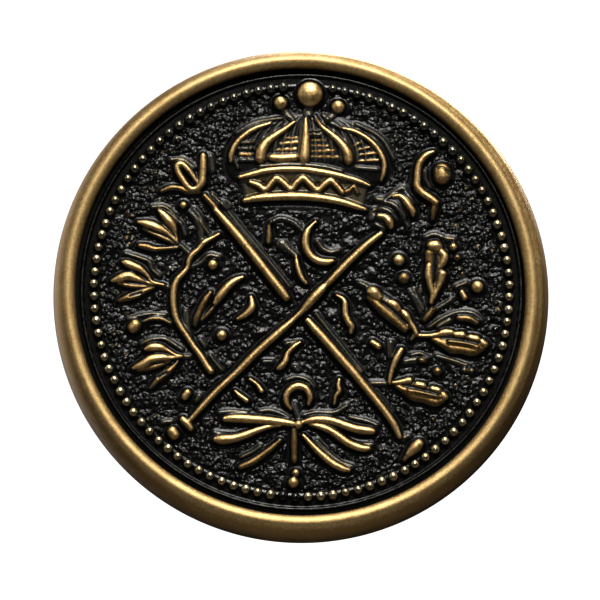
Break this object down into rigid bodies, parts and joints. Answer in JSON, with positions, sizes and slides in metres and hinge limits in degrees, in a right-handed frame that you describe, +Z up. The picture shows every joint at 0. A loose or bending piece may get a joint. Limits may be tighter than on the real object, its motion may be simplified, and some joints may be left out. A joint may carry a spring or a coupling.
{
  "type": "cap badge",
  "caption": "Round antique-brass cap badge: turned rim, pearled border, crossed staffs under a crown between leaf sprigs, with a screw post, washer and knurled nut behind.",
  "frame": {"origin": "centre of the back plane, where the screw post leaves the badge and the cap's cloth bears", "axes": "+Z up to the top of the badge as worn, -Y the way the face looks, +X to the viewer's right, +Y along the screw post"},
  "size_m": [0.03, 0.0099, 0.03],
  "materials": {
    "rim_brass": "tumbled antique brass, brown in the shade",
    "patinated_field": "black patina over a pebbled ground",
    "pearled_brass": "patinated with rubbed tops",
    "charge_brass": "rubbed bright on top, black patina on the sides",
    "filler_card": "pressed fibre card",
    "back_brass": "dull rolled sheet",
    "fixing_brass": "turned"
  },
  "bodies": {
    "badge": {"rim_ring": "rim_brass", "face_plate": "patinated_field", "pearl_border": "pearled_brass", "crown": "charge_brass", "left_staff": "charge_brass", "right_staff": "charge_brass", "left_sprig": "charge_brass", "right_sprig": "charge_brass", "ribbon_scroll": "charge_brass", "ribbon_bow": "charge_brass", "filler_disc": "filler_card", "back_plate": "back_brass", "threaded_post": "fixing_brass", "locating_pin_left": "fixing_brass", "locating_pin_right": "fixing_brass"},
    "washer": {"clamp_washer": "fixing_brass"},
    "nut": {"thumb_nut": "fixing_brass"}
  },
  "joints": [
    {"name": "washer_slide", "type": "slide", "parent": "badge", "child": "washer", "axis": [0, 1, 0], "range_m": [-0.0008, 0.00365]},
    {"name": "nut_spin", "type": "hinge", "parent": "washer", "child": "nut", "pos_m": [0, 0, 0], "axis": [0, 1, 0], "range_deg": [-578, 2630]}
  ],
  "couplings": [
    {"joint": "nut_spin", "follows": "washer_slide", "rad_per_m": 12566}
  ]
}
